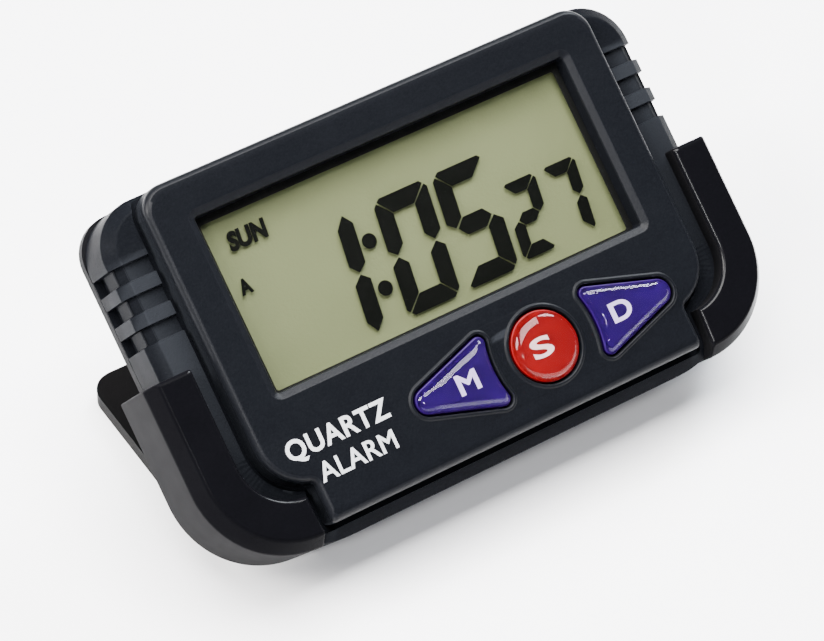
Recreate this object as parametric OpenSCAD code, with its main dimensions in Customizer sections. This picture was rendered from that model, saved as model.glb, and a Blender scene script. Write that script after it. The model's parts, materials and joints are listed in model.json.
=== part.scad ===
// Small dashboard clock on a hinged base plate: a shallow plastic case with a large
// liquid-crystal display, three domed keys and two corner guards. The base plate lies
// flat and the case tilts on it. The origin is the centre of the plate's underside,
// +X runs along the clock's width and +Y from its front edge to its back.
//
// Everything in the case is drawn in the clock's own frame and then tilted: there x is
// the width, y runs up the face from its middle, and z comes out of the face, with
// z = 0 on the front of the raised panel.

/* [Case] */
// Width of the case over its side walls
case_w = 72.3; // [72:0.1:72.6]
// Height of the case
case_h = 45.4; // [45.2:0.1:45.6]
// Depth of the case from the panel to the back
case_d = 13.2; // [13:0.1:13.6]
// Thickness of the moulded walls
wall = 1.6; // [1.4:0.1:1.7]
// How far the side shoulders lie behind the panel
shoulder_drop = 2.8; // [2.6:0.1:2.9]
// Size of the bevel round the shoulders
bevel = 1.4; // [1.2:0.1:1.5]
// Depth of the parting line behind the panel
parting_z = 11; // [10.9:0.1:11.2]

/* [Panel] */
// Width of the raised front panel
panel_w = 61.2; // [61:0.1:61.4]
// Width of the panel between the corner guards
panel_low_w = 51.6; // [51.4:0.1:51.8]
// Height of the panel's lower edge, measured from the middle of the face
panel_bottom_y = -20.6; // [-20.7:0.1:-20.5]
// Rounding of the panel's front edge
panel_edge = 0.8; // [0.5:0.1:1]

/* [Window] */
// Width of the window at the panel's face
window_w = 52; // [51.6:0.1:52.4]
// Height of the window at the panel's face
window_h = 23.5; // [23.3:0.1:23.7]
// Height of the window's middle above the middle of the face
window_y = 6.5; // [6.4:0.1:6.6]
// How much the window narrows on each side towards the lens
window_bevel = 0.8; // [0.6:0.1:0.9]
// Depth of the lens behind the panel's face
lens_z = 2; // [1.8:0.1:2.1]

/* [Keys] */
// Height of the row of keys, measured from the middle of the face
key_y = -12.6; // [-12.7:0.1:-12.5]
// Place of the round key along the width
set_key_x = 7.05; // [7:0.05:7.1]
// Radius of the round key
set_key_r = 4.3; // [4.1:0.1:4.4]
// Distance from the round key's centre to a side key's tip
side_key_reach = 17.85; // [17.6:0.05:18]
// Distance from the round key's centre to a side key's broad end
side_key_inner = 6.7; // [6.6:0.05:6.9]
// Half the height of a side key's broad end
side_key_half_h = 4.35; // [4.2:0.05:4.4]
// How far the keys' domes stand above the panel
key_rise = 1.3; // [1:0.1:1.5]
// Travel of a key
key_travel = 0.7; // [0.5:0.1:0.8]

/* [Guards] */
// Overall width over the corner guards
guard_w = 78; // [77.8:0.1:78.2]
// Height of the guards' top ends, measured from the middle of the face
guard_top_y = 2.15; // [2:0.05:2.3]
// Depth of the guards' rear edge behind the panel
guard_back_z = 12.2; // [12:0.1:12.4]

/* [Base plate] */
// Angle between the base plate and the back of the case
tilt = 36; // [30:1:45]
// Width of the base plate
plate_w = 68.8; // [66:0.1:70]
// Length of the base plate
plate_l = 34.7; // [34:0.1:35]
// Thickness of the base plate
plate_t = 2; // [1.8:0.1:2.2]
// Radius of the hinge pins
hinge_pin_r = 0.7; // [0.65:0.05:0.75]

/* [Hidden] */
$fn = 48;

// Overlap of joined shapes, and how far cutting shapes run past what they cut.
eps = 0.01;
over = 1;

// Outline of the case. The rear half has tighter upper corners than the front half.
top_r = 6;
rear_top_r = 4.8;
low_r = 13;
back_chamfer = 0.8;
back_wall = 1.4;
case_half_w = case_w / 2;
case_half_h = case_h / 2;
shoulder_z = shoulder_drop;
side_z = shoulder_drop + bevel;
inner_z = case_d - back_wall;

// Raised panel and the narrow channel round it.
panel_top_r = 2.6;
panel_low_r = 6;
panel_turn_y = -9.4;
channel_w = 0.7;
channel_depth = 1;

// Grip grooves on both shoulders: the middle of each, counted up the face.
groove_ys = [15.0, 11.3, 7.55];
groove_w = 2;
groove_depth = 0.6;
groove_front_z = 2;
groove_reach = 12;
notch_depth = 1.1;
notch_front_z = 8.4;
notch_back_z = 10.7;

// Corner guards.
guard_r = 11.5;
guard_inner_r = 6.25;
guard_inner_x = 33.35;
guard_inner_y = -10.2;
guard_end_x = guard_inner_x - guard_inner_r;
guard_start_x = 18;
guard_low_gap = 0.3;
guard_front_z = 0.3;
guard_bevel = 1.4;
guard_bevel_depth = 2.4;

// Keys.
key_gap = 0.25;
rim_w = 0.45;
rim_h = 0.25;
tip_r = 1.6;
broad_r = 0.9;
scoop_r = 16;
scoop_depth = 0.5;
key_shoulder = 0.35;
key_dome_inset = 1.4;
flange_w = 0.7;
flange_z = 1.85;
flange_t = 0.8;
flange_gap = 0.3;
stem_end_z = 5;
stem_r = 1.6;
side_stem_x = 3.6;
mat_l = 27;
mat_h = 7.6;
mat_t = 0.8;
mat_dome_r = 2.2;
mat_gap = 0.1;

// Display, from the lens back to the board.
lens_t = 0.8;
lens_margin = 0.9;
lens_gap = 0.1;
lens_pocket_w = window_w + 2 * (lens_margin - window_bevel);
lens_pocket_h = window_h + 2 * (lens_margin - window_bevel);
frame_wall = 1.4;
display_w = 53.4;
display_h = 24.2;
display_y = 6.2;
display_z = 3;
glass_t = 1.8;
reflector_t = 0.4;
board_z = 7.6;
board_t = 1;
board_half_w = 28.2;
board_top_y = 20.8;
board_low_y = -20;
board_back_z = board_z + board_t;
board_gap = 0.3;
board_corner_cut = 5.4;
strip_w = 1.2;
strip_margin = 0.2;
strip_l = 46;

// Parts on the back of the board.
chip_place = [-4, 8];
chip_r = 4.2;
chip_rise = 1.3;
crystal_place = [-22, 13];
crystal_r = 1;
crystal_l = 6;
crystal_lead_r = 0.15;
crystal_lead_l = 1.6;
crystal_lead_z = 0.2;
crystal_lead_y = 0.4;
component_size = [2, 1.2, 0.7];
component_places = [[-14, 17], [-9, 17], [4, 17], [9, 17], [4, -14], [12, -16]];

// Cell, its round bay and the twist-off door.
cell_x = -20;
cell_y = -10.6;
cell_r = 5.8;
cell_t = 5.4;
cell_back_z = 11.8;
cell_step_r = 1.2;
cell_step_t = 0.5;
bay_r = 7;
bay_outer_r = 8;
bay_front_z = 6.5;
ledge_r = 6.95;
door_ring_r = 6.8;
door_ring_in_r = 6.1;
door_r = 8.6;
door_floor_z = 12.1;
door_seat_r = 8.8;
door_seat_gap = 0.05;
seat_rim_w = 0.6;
seat_rim_t = 0.6;
door_flange_t = 0.9;
coin_slot_l = 11;
coin_slot_w = 1.6;
coin_slot_depth = 0.5;
lug_r = 7.4;
lug_angle = 30;
lug_slot_angle = 36;
lug_front_z = 10.9;
lug_back_z = 11.3;
lug_track_r = 7.65;
lug_track_front_z = 10.6;
lug_track_back_z = 11.4;
contact_w = 3;
contact_t = 0.3;
contact_slot_w = 4.5;
contact_gap = 0.02;
contact_lift = 0.1;
contact_foot_l = 5.2;
leaf_reach = 9.4;

// Fasteners.
case_screw_places = [[31.2, 17.1], [-31.2, 17.1], [31, -5.5], [-31, -5.5]];
board_screw_places = [[0, 19.8], [26.6, -8.6], [-9, -17.8]];
cross_w = 0.35;
cross_depth = 0.4;
cross_reach = 1.2;
case_screw_r = 0.95;
case_screw_tip_z = 5.9;
case_screw_head_r = 1.8;
case_screw_head_t = 0.7;
case_hole_r = 1;
case_hole_end_z = 5.6;
case_boss_r = 2.4;
case_boss_root_z = 3.8;
screw_clear_r = 1.1;
screw_seat_r = 2.1;
screw_seat_z = 12.4;
board_screw_r = 0.7;
board_screw_tip_z = 4;
board_screw_head_r = 1.2;
board_screw_head_t = 0.8;
board_hole_r = 0.75;
board_hole_end_z = 3.2;
board_clear_r = 0.8;
board_post_r = 1.3;
board_post_root_z = 1.4;

// Buzzer.
buzzer_x = 13;
buzzer_y = 3;
buzzer_r = 9;
buzzer_t = 0.3;
ceramic_inset = 2;
ceramic_t = 0.25;
spring_r = 0.9;
spring_in_r = 0.6;
spring_inset = 1;
sound_hole_r = 0.6;
sound_ring_r = 3.2;
sound_hole_count = 6;

// Hinge, low on the back of the case.
hinge_y = -21;
hinge_z = 11.9;
hinge_gap = 0.3;
plate_top = case_d - hinge_z + hinge_gap;
plate_start = 1.2;
plate_rear_r = 3;
plate_front_r = 12;
ear_x = 25;
ear_w = 2.4;
ear_r = 1.35;
ear_foot = 1.65;
ear_foot_t = 1.5;
ear_side_gap = 0.3;
ear_notch_r = 1.7;
pin_l = 1.6;
pin_gap = 0.06;
pin_hole_l = 1.9;
hinge_block_w = 2.4;
hinge_block_rise = 0.5;
hinge_block_x = ear_x - ear_w / 2 - ear_side_gap - hinge_block_w / 2;
plate_middle = plate_start + plate_l / 2;

// ---- outlines -------------------------------------------------------------------

function arc(x, y, r, from, to, steps) =
    [for (i = [0 : steps]) let (a = from + (to - from) * i / steps)
        [x + r * cos(a), y + r * sin(a)]];

// The case seen from the front, drawn in by d on every side, with upper corners of r.
function case_outline(d, r = top_r) = concat(
    arc(case_half_w - r, case_half_h - r, r - d, 0, 90, 10),
    arc(r - case_half_w, case_half_h - r, r - d, 90, 180, 10),
    arc(low_r - case_half_w, low_r - case_half_h, low_r - d, 180, 270, 14),
    arc(case_half_w - low_r, low_r - case_half_h, low_r - d, 270, 360, 14));

// Right half of the panel's outline from bottom to top, drawn in by d.
function panel_right(d) = concat(
    [[panel_low_w / 2 - d, panel_bottom_y + d]],
    arc(panel_w / 2 - panel_low_r, panel_turn_y, panel_low_r - d,
        -acos((panel_low_w / 2 - d - panel_w / 2 + panel_low_r) / (panel_low_r - d)), 0, 8),
    arc(panel_w / 2 - panel_top_r, case_half_h - panel_top_r, panel_top_r - d, 0, 90, 6));

function mirrored(points) =
    [for (i = [len(points) - 1 : -1 : 0]) [-points[i][0], points[i][1]]];

function panel_outline(d) = concat(panel_right(d), mirrored(panel_right(d)));

// Outer shape of the right corner guard without its inner cut-out, drawn in by d.
function guard_outline(d) = concat(
    [[guard_start_x, guard_low_gap - case_half_h + d]],
    arc(guard_w / 2 - guard_r, guard_r + guard_low_gap - case_half_h, guard_r - d, -90, 0, 16),
    [[guard_w / 2 - d, guard_top_y], [guard_start_x, guard_top_y]]);

// What the right guard leaves open round the panel.
guard_opening = concat(
    [[0, -case_h], [guard_end_x, -case_h]],
    arc(guard_end_x, guard_inner_y, guard_inner_r, -90, 0, 10),
    [[guard_inner_x, case_h], [0, case_h]]);

// Direction of the outward normal of the edge that touches circles a and b, each
// given as [x, y, r], when going round them anticlockwise.
function edge_normal(a, b) =
    atan2(b[1] - a[1], b[0] - a[0])
    - acos((a[2] - b[2]) / norm([b[0] - a[0], b[1] - a[1]]));

function corner_arc(before, at, after, steps) =
    let (from = edge_normal(before, at), to = edge_normal(at, after))
    arc(at[0], at[1], at[2], from, to < from ? to + 360 : to, steps);

// A side key with its tip on the right, counted from the round key, grown by g.
function side_key_outline(g) =
    let (tip = [side_key_reach - tip_r, 0, tip_r + g],
        top = [side_key_inner + broad_r, side_key_half_h - broad_r, broad_r + g],
        low = [side_key_inner + broad_r, broad_r - side_key_half_h, broad_r + g])
    concat(corner_arc(low, tip, top, 8), corner_arc(tip, top, low, 6),
        corner_arc(top, low, tip, 6));

// ---- helpers ---------------------------------------------------------------------

// A prism between two depths behind the panel's face, front first.
module slab(front, back) {
    translate([0, 0, -back]) linear_extrude(back - front) children();
}

module clock_place() {
    translate([0, -plate_middle, plate_t + plate_top])
        rotate([tilt, 0, 0])
            translate([0, -hinge_y, hinge_z])
                children();
}

// The hollow in a side key's broad end, round the set key.
module scoop(g) {
    translate([side_key_inner + scoop_depth - scoop_r - g, 0]) circle(scoop_r, $fn = 120);
}

module side_key_shape(g) {
    difference() {
        polygon(side_key_outline(g));
        scoop(g);
    }
}

module key_row(g) {
    translate([set_key_x, key_y]) {
        circle(set_key_r + g);
        side_key_shape(g);
        mirror([1, 0]) side_key_shape(g);
    }
}

module plain_box(low, high) {
    translate(low) cube(high - low);
}

module disc(x, y, r, front, back) {
    translate([x, y, -back]) cylinder(r = r, h = back - front);
}

module sector(x, y, r_in, r_out, angle, front, back) {
    translate([x, y, -back])
        rotate([0, 0, -angle / 2])
            rotate_extrude(angle = angle)
                translate([r_in, 0]) square([r_out - r_in, back - front]);
}

// ---- case ------------------------------------------------------------------------

// Outside of the case behind the shoulders, drawn in by d, down to a given depth.
module case_body(d, back) {
    hull() {
        slab(shoulder_z + d, shoulder_z + d + eps) polygon(case_outline(bevel + d));
        slab(side_z + d, side_z + d + eps) polygon(case_outline(d));
    }
    slab(side_z + d, back) polygon(case_outline(d));
}

// The raised panel. Two small steps stand for its rounded front edge.
module panel_block() {
    slab(panel_edge, shoulder_z + eps) polygon(panel_outline(0));
    slab(0, panel_edge) polygon(panel_outline(panel_edge * 0.5));
    slab(panel_edge * 0.3, panel_edge) polygon(panel_outline(panel_edge * 0.15));
}

module grip_grooves() {
    difference() {
        for (side = [-1, 1], y = groove_ys)
            translate([side * (panel_w / 2 + channel_w + groove_reach / 2), y,
                -(groove_front_z + parting_z) / 2])
                cube([groove_reach, groove_w, parting_z - groove_front_z], center = true);
        case_body(groove_depth, parting_z + over);
    }
    for (side = [-1, 1], y = groove_ys)
        translate([side * case_half_w, y, -(notch_front_z + notch_back_z) / 2])
            cube([2 * notch_depth, groove_w, notch_back_z - notch_front_z], center = true);
}

module channel_cut() {
    slab(shoulder_z - over, shoulder_z + channel_depth)
        difference() {
            polygon(panel_outline(-channel_w));
            polygon(panel_outline(0));
        }
}

module window_cut() {
    hull() {
        slab(-eps, 0) translate([0, window_y]) square([window_w, window_h], center = true);
        slab(lens_z, lens_z + eps) translate([0, window_y])
            square([window_w - 2 * window_bevel, window_h - 2 * window_bevel], center = true);
    }
}

module ear_notches() {
    for (side = [-1, 1])
        translate([side * ear_x, hinge_y, -hinge_z])
            rotate([0, 90, 0])
                cylinder(r = ear_notch_r, h = ear_w + 2 * ear_side_gap, center = true);
}

module front_case() color([0.17, 0.18, 0.2]) clock_place() {
    difference() {
        union() {
            difference() {
                union() {
                    case_body(0, parting_z);
                    panel_block();
                    slab(-rim_h, shoulder_z) key_row(key_gap + rim_w);
                }
                slab(wall, shoulder_z + wall) intersection() {
                    polygon(panel_outline(wall));
                    polygon(case_outline(wall));
                }
                slab(wall, shoulder_z + wall) key_row(flange_w + flange_gap);
                slab(shoulder_z + wall, parting_z + over) polygon(case_outline(wall));
                grip_grooves();
                channel_cut();
            }
            slab(wall, display_z) translate([0, window_y])
                square([lens_pocket_w + 2 * frame_wall, lens_pocket_h + 2 * frame_wall],
                    center = true);
            for (p = case_screw_places)
                disc(p[0], p[1], case_boss_r, case_boss_root_z, inner_z);
            for (p = board_screw_places)
                disc(p[0], p[1], board_post_r, board_post_root_z, board_z);
        }
        window_cut();
        slab(lens_z, display_z + over) translate([0, window_y])
            square([lens_pocket_w, lens_pocket_h], center = true);
        slab(-over, wall + over) key_row(key_gap);
        for (p = case_screw_places)
            disc(p[0], p[1], case_hole_r, case_hole_end_z, inner_z + over);
        for (p = board_screw_places)
            disc(p[0], p[1], board_hole_r, board_hole_end_z, board_z + over);
        ear_notches();
    }
}

module rear_case() color([0.13, 0.14, 0.16]) clock_place() {
    difference() {
        union() {
            difference() {
                union() {
                    slab(parting_z, case_d - back_chamfer)
                        polygon(case_outline(0, rear_top_r));
                    hull() {
                        slab(case_d - back_chamfer - eps, case_d - back_chamfer)
                            polygon(case_outline(0, rear_top_r));
                        slab(case_d - eps, case_d)
                            polygon(case_outline(back_chamfer, rear_top_r));
                    }
                }
                slab(parting_z - over, inner_z) polygon(case_outline(wall));
            }
            disc(cell_x, cell_y, bay_outer_r, bay_front_z, inner_z + eps);
            disc(cell_x, cell_y, door_seat_r + seat_rim_w, inner_z - seat_rim_t, case_d - eps);
            for (side = [-1, 1])
                plain_box([side * hinge_block_x - hinge_block_w / 2, hinge_y - ear_r,
                    -case_d + eps],
                    [side * hinge_block_x + hinge_block_w / 2,
                    hinge_y + ear_r + hinge_block_rise, -parting_z]);
        }
        // Round bay, with a track behind its ledge where the door's lugs turn.
        disc(cell_x, cell_y, bay_r, bay_front_z - over, lug_track_front_z + eps);
        disc(cell_x, cell_y, lug_track_r, lug_track_front_z, lug_track_back_z);
        disc(cell_x, cell_y, ledge_r, lug_track_front_z, case_d + over);
        disc(cell_x, cell_y, door_seat_r, case_d - door_flange_t - door_seat_gap,
            case_d + over);
        for (turn = [-45, 135])
            translate([cell_x, cell_y, 0]) rotate([0, 0, turn])
                sector(0, 0, ledge_r - over, lug_track_r, lug_slot_angle,
                    lug_track_front_z, case_d + over);
        plain_box([cell_x + bay_r - over, cell_y - contact_slot_w / 2, -lug_track_front_z],
            [cell_x + bay_outer_r + over, cell_y + contact_slot_w / 2, over - bay_front_z]);
        for (p = case_screw_places) {
            disc(p[0], p[1], screw_clear_r, parting_z, case_d + over);
            disc(p[0], p[1], screw_seat_r, screw_seat_z, case_d + over);
        }
        disc(buzzer_x, buzzer_y, sound_hole_r, parting_z, case_d + over);
        for (i = [1 : sound_hole_count])
            disc(buzzer_x + sound_ring_r * cos(i * 360 / sound_hole_count),
                buzzer_y + sound_ring_r * sin(i * 360 / sound_hole_count),
                sound_hole_r, parting_z, case_d + over);
        ear_notches();
        for (side = [-1, 1])
            plain_box([side * ear_x - ear_w / 2 - ear_side_gap, -case_half_h - over,
                -case_d - over],
                [side * ear_x + ear_w / 2 + ear_side_gap,
                hinge_y + ear_foot + ear_side_gap, -hinge_z]);
        for (side = [-1, 1])
            translate([side * (ear_x - ear_w / 2 - ear_side_gap - pin_hole_l / 2), hinge_y,
                -hinge_z])
                rotate([0, 90, 0])
                    cylinder(r = hinge_pin_r + pin_gap, h = pin_hole_l + eps, center = true);
    }
}

// The right guard. It wraps the case's lower corner from the face to near the back.
module guard() {
    difference() {
        union() {
            hull() {
                slab(guard_front_z, guard_front_z + eps) polygon(guard_outline(guard_bevel));
                slab(guard_front_z + guard_bevel_depth, guard_front_z + guard_bevel_depth + eps)
                    polygon(guard_outline(0));
            }
            slab(guard_front_z + guard_bevel_depth, guard_back_z) polygon(guard_outline(0));
        }
        slab(shoulder_z, case_d) polygon(case_outline(0));
        slab(-over, case_d) polygon(guard_opening);
        case_body(0, case_d);
    }
}

module left_guard() color([0.07, 0.07, 0.09]) clock_place() mirror([1, 0, 0]) guard();

module right_guard() color([0.07, 0.07, 0.09]) clock_place() guard();

// ---- display and keys ------------------------------------------------------------

module window_lens() color([0.8, 0.85, 0.85, 0.3]) clock_place() {
    slab(lens_z, lens_z + lens_t) translate([0, window_y])
        square([lens_pocket_w - lens_gap, lens_pocket_h - lens_gap], center = true);
}

module display_glass() color([0.62, 0.65, 0.5]) clock_place() {
    slab(display_z, display_z + glass_t) translate([0, display_y])
        square([display_w, display_h], center = true);
}

module display_reflector() color([0.75, 0.75, 0.7]) clock_place() {
    taken = strip_w + 2 * strip_margin;
    slab(display_z + glass_t, display_z + glass_t + reflector_t)
        translate([0, display_y - taken / 2])
            square([display_w, display_h - taken], center = true);
}

module zebra_strip() color([0.3, 0.3, 0.32]) clock_place() {
    slab(display_z + glass_t, board_z)
        translate([0, display_y + (display_h - strip_w) / 2 - strip_margin])
            square([strip_l, strip_w], center = true);
}

module key_cap() {
    hull() {
        slab(-key_shoulder, eps) children(0);
        slab(-key_rise, -key_rise + eps) children(1);
    }
    slab(0, flange_z + eps) children(0);
    slab(flange_z, flange_z + flange_t) children(2);
}

module set_key() color([0.75, 0.08, 0.08]) clock_place() translate([set_key_x, key_y, 0]) {
    key_cap() {
        circle(set_key_r);
        circle(set_key_r - key_dome_inset);
        circle(set_key_r + flange_w);
    }
    disc(0, 0, stem_r, flange_z, stem_end_z);
}

module side_key() {
    difference() {
        key_cap() {
            polygon(side_key_outline(0));
            polygon(side_key_outline(-key_dome_inset));
            side_key_shape(flange_w);
        }
        slab(-key_rise - over, flange_z) scoop(0);
    }
    disc(side_key_inner + side_stem_x, 0, stem_r, flange_z, stem_end_z);
}

module display_key() color([0.17, 0.08, 0.5]) clock_place() translate([set_key_x, key_y, 0])
    side_key();

module mode_key() color([0.17, 0.08, 0.5]) clock_place() translate([set_key_x, key_y, 0])
    mirror([1, 0, 0]) side_key();

module key_mat() color([0.8, 0.8, 0.78]) clock_place() translate([set_key_x, key_y, 0]) {
    slab(board_z - mat_t, board_z) square([mat_l, mat_h], center = true);
    for (x = [-side_key_inner - side_stem_x, 0, side_key_inner + side_stem_x])
        disc(x, 0, mat_dome_r, stem_end_z + key_travel + mat_gap, board_z - mat_t + eps);
}

// ---- electronics -----------------------------------------------------------------

module circuit_board() color([0.1, 0.35, 0.15]) clock_place() {
    difference() {
        plain_box([-board_half_w, board_low_y, -board_back_z],
            [board_half_w, board_top_y, -board_z]);
        disc(cell_x, cell_y, bay_outer_r + board_gap, board_z - over, board_back_z + over);
        for (p = case_screw_places)
            disc(p[0], p[1], case_boss_r + board_gap, board_z - over, board_back_z + over);
        for (p = board_screw_places)
            disc(p[0], p[1], board_clear_r, board_z - over, board_back_z + over);
        // The board's lower corners follow the rounded corners of the case.
        for (side = [-1, 1])
            translate([side * board_half_w, board_low_y, -board_z - board_t / 2])
                rotate([0, 0, 45])
                    cube([board_corner_cut, board_corner_cut, board_t + 2 * over],
                        center = true);
    }
}

module chip_cover() color([0.05, 0.05, 0.05]) clock_place() {
    ball_r = (chip_r * chip_r + chip_rise * chip_rise) / (2 * chip_rise);
    intersection() {
        translate([chip_place[0], chip_place[1], ball_r - chip_rise - board_back_z])
            sphere(ball_r, $fn = 64);
        disc(chip_place[0], chip_place[1], chip_r + over, board_back_z,
            board_back_z + chip_rise + over);
    }
}

// A can lying on the board with its two leads at one end.
module quartz_crystal() color([0.8, 0.8, 0.8]) clock_place() {
    translate([crystal_place[0], crystal_place[1], -board_back_z - crystal_r])
        rotate([0, 90, 0]) cylinder(r = crystal_r, h = crystal_l);
    for (side = [-1, 1])
        translate([crystal_place[0] - crystal_lead_l,
            crystal_place[1] + side * crystal_lead_y, -board_back_z - crystal_lead_z])
            rotate([0, 90, 0])
                cylinder(r = crystal_lead_r, h = crystal_lead_l + crystal_lead_z);
}

module board_components() color([0.6, 0.5, 0.35]) clock_place() {
    for (p = component_places)
        plain_box([p[0], p[1], -board_back_z - component_size[2]],
            [p[0] + component_size[0], p[1] + component_size[1], -board_back_z]);
}

module buzzer_disc() color([0.8, 0.65, 0.25]) clock_place() {
    disc(buzzer_x, buzzer_y, buzzer_r, inner_z - buzzer_t, inner_z);
    disc(buzzer_x, buzzer_y, buzzer_r - ceramic_inset, inner_z - buzzer_t - ceramic_t,
        inner_z - buzzer_t + eps);
}

module spring(x, back) {
    difference() {
        disc(x, buzzer_y, spring_r, board_back_z, back);
        disc(x, buzzer_y, spring_in_r, board_back_z - over, back + over);
    }
}

// One spring presses on the ceramic, the other on the brass near its edge.
module buzzer_springs() color([0.8, 0.8, 0.8]) clock_place() {
    spring(buzzer_x, inner_z - buzzer_t - ceramic_t);
    spring(buzzer_x + buzzer_r - spring_inset, inner_z - buzzer_t);
}

module button_cell() color([0.8, 0.8, 0.8]) clock_place() {
    front = cell_back_z - cell_t;
    disc(cell_x, cell_y, cell_r, front + cell_step_t, cell_back_z);
    disc(cell_x, cell_y, cell_r - cell_step_r, front, front + cell_step_t + eps);
}

// A leaf in front of the cell, bent back to the board at its free end.
module negative_contact() color([0.75, 0.75, 0.7]) clock_place() {
    leaf_z = cell_back_z - cell_t;
    leaf_end_x = cell_x + leaf_reach;
    plain_box([cell_x - contact_w, cell_y - contact_w / 2, -leaf_z],
        [leaf_end_x, cell_y + contact_w / 2, contact_t - leaf_z]);
    plain_box([leaf_end_x - contact_t, cell_y - contact_w / 2, -board_z],
        [leaf_end_x, cell_y + contact_w / 2, contact_t - leaf_z]);
}

// A tab at the cell's side with a foot on the back of the board.
module positive_contact() color([0.75, 0.75, 0.7]) clock_place() {
    tab_x = cell_x + cell_r + contact_gap;
    plain_box([tab_x, cell_y - contact_w / 2, contact_lift - lug_track_front_z],
        [tab_x + contact_t, cell_y + contact_w / 2, -board_back_z]);
    plain_box([tab_x, cell_y - contact_w / 2, -board_back_z - contact_t],
        [tab_x + contact_foot_l, cell_y + contact_w / 2, -board_back_z]);
}

module battery_door() color([0.13, 0.14, 0.16]) clock_place() {
    difference() {
        union() {
            disc(cell_x, cell_y, door_r, case_d - door_flange_t, case_d);
            disc(cell_x, cell_y, door_ring_r, lug_front_z, case_d - door_flange_t + eps);
            for (turn = [0, 180])
                translate([cell_x, cell_y, 0]) rotate([0, 0, turn])
                    sector(0, 0, door_ring_in_r, lug_r, lug_angle, lug_front_z, lug_back_z);
        }
        disc(cell_x, cell_y, door_ring_in_r, lug_front_z - over, door_floor_z);
        translate([cell_x, cell_y, -case_d])
            cube([coin_slot_l, coin_slot_w, 2 * coin_slot_depth], center = true);
    }
}

// ---- fasteners and base plate ----------------------------------------------------

module screw(x, y, r, head_r, head_t, tip_z, head_z) {
    difference() {
        union() {
            disc(x, y, r, tip_z, head_z + eps);
            disc(x, y, head_r, head_z, head_z + head_t);
        }
        translate([x, y, -head_z - head_t]) {
            cube([head_r * cross_reach, cross_w, 2 * cross_depth], center = true);
            cube([cross_w, head_r * cross_reach, 2 * cross_depth], center = true);
        }
    }
}

module case_screws() color([0.6, 0.6, 0.62]) clock_place() {
    for (p = case_screw_places)
        screw(p[0], p[1], case_screw_r, case_screw_head_r, case_screw_head_t,
            case_screw_tip_z, screw_seat_z);
}

module board_screws() color([0.6, 0.6, 0.62]) clock_place() {
    for (p = board_screw_places)
        screw(p[0], p[1], board_screw_r, board_screw_head_r, board_screw_head_t,
            board_screw_tip_z, board_back_z);
}

// Drawn flat, with the hinge axis above its front edge.
module base_plate() color([0.08, 0.08, 0.09]) {
    hinge_up = plate_t + plate_top;
    front = -plate_l / 2 + plate_front_r;
    rear = plate_l / 2 - plate_rear_r;
    translate([-plate_w / 2, front, 0]) cube([plate_w, rear - front, plate_t]);
    translate([plate_front_r - plate_w / 2, -plate_l / 2, 0])
        cube([plate_w - 2 * plate_front_r, plate_front_r + eps, plate_t]);
    translate([plate_rear_r - plate_w / 2, rear - eps, 0])
        cube([plate_w - 2 * plate_rear_r, plate_rear_r + eps, plate_t]);
    for (side = [-1, 1]) {
        translate([side * (plate_w / 2 - plate_front_r), front, 0])
            cylinder(r = plate_front_r, h = plate_t, $fn = 96);
        translate([side * (plate_w / 2 - plate_rear_r), rear, 0])
            cylinder(r = plate_rear_r, h = plate_t);
        translate([side * ear_x, -plate_middle, hinge_up])
            rotate([0, 90, 0]) cylinder(r = ear_r, h = ear_w, center = true);
        translate([side * ear_x - ear_w / 2, ear_foot - ear_foot_t - plate_middle, plate_t / 2])
            cube([ear_w, ear_foot_t, hinge_up - plate_t / 2]);
        translate([side * (ear_x - ear_w / 2 - pin_l / 2 + eps), -plate_middle, hinge_up])
            rotate([0, 90, 0]) cylinder(r = hinge_pin_r, h = pin_l + eps, center = true);
    }
}

base_plate();
front_case();
rear_case();
left_guard();
right_guard();
window_lens();
display_glass();
display_reflector();
zebra_strip();
circuit_board();
chip_cover();
quartz_crystal();
board_components();
board_screws();
mode_key();
set_key();
display_key();
key_mat();
buzzer_disc();
buzzer_springs();
button_cell();
positive_contact();
negative_contact();
battery_door();
case_screws();
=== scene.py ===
"""Looks of the dashboard clock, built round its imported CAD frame.

Lengths are in millimetres in the clock's own frame, as in the CAD source: x along the
width, y up the face from its middle, z out of the face with 0 on the raised panel.
PLACE turns that frame into the row frame in metres.
"""
import json
import math

import bmesh
import bpy
from mathutils import Matrix, Vector
from mathutils.geometry import tessellate_polygon


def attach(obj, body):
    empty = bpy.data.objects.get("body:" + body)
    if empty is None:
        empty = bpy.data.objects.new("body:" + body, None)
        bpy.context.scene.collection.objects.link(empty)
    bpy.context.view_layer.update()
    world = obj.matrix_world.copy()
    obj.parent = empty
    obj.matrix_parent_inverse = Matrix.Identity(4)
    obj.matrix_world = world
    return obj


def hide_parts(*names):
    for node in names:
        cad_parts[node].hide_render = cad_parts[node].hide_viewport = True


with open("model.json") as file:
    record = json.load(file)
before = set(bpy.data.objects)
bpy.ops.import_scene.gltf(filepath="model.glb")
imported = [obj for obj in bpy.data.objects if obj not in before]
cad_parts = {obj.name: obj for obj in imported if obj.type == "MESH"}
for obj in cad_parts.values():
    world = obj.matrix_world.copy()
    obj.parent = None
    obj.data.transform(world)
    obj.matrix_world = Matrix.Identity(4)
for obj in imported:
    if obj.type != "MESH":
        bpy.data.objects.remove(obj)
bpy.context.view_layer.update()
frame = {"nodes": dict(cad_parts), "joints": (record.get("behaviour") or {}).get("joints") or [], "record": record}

MM = 0.001
JOINTS = {joint["name"]: joint for joint in frame["joints"]}
NODES = frame["nodes"]

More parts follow.
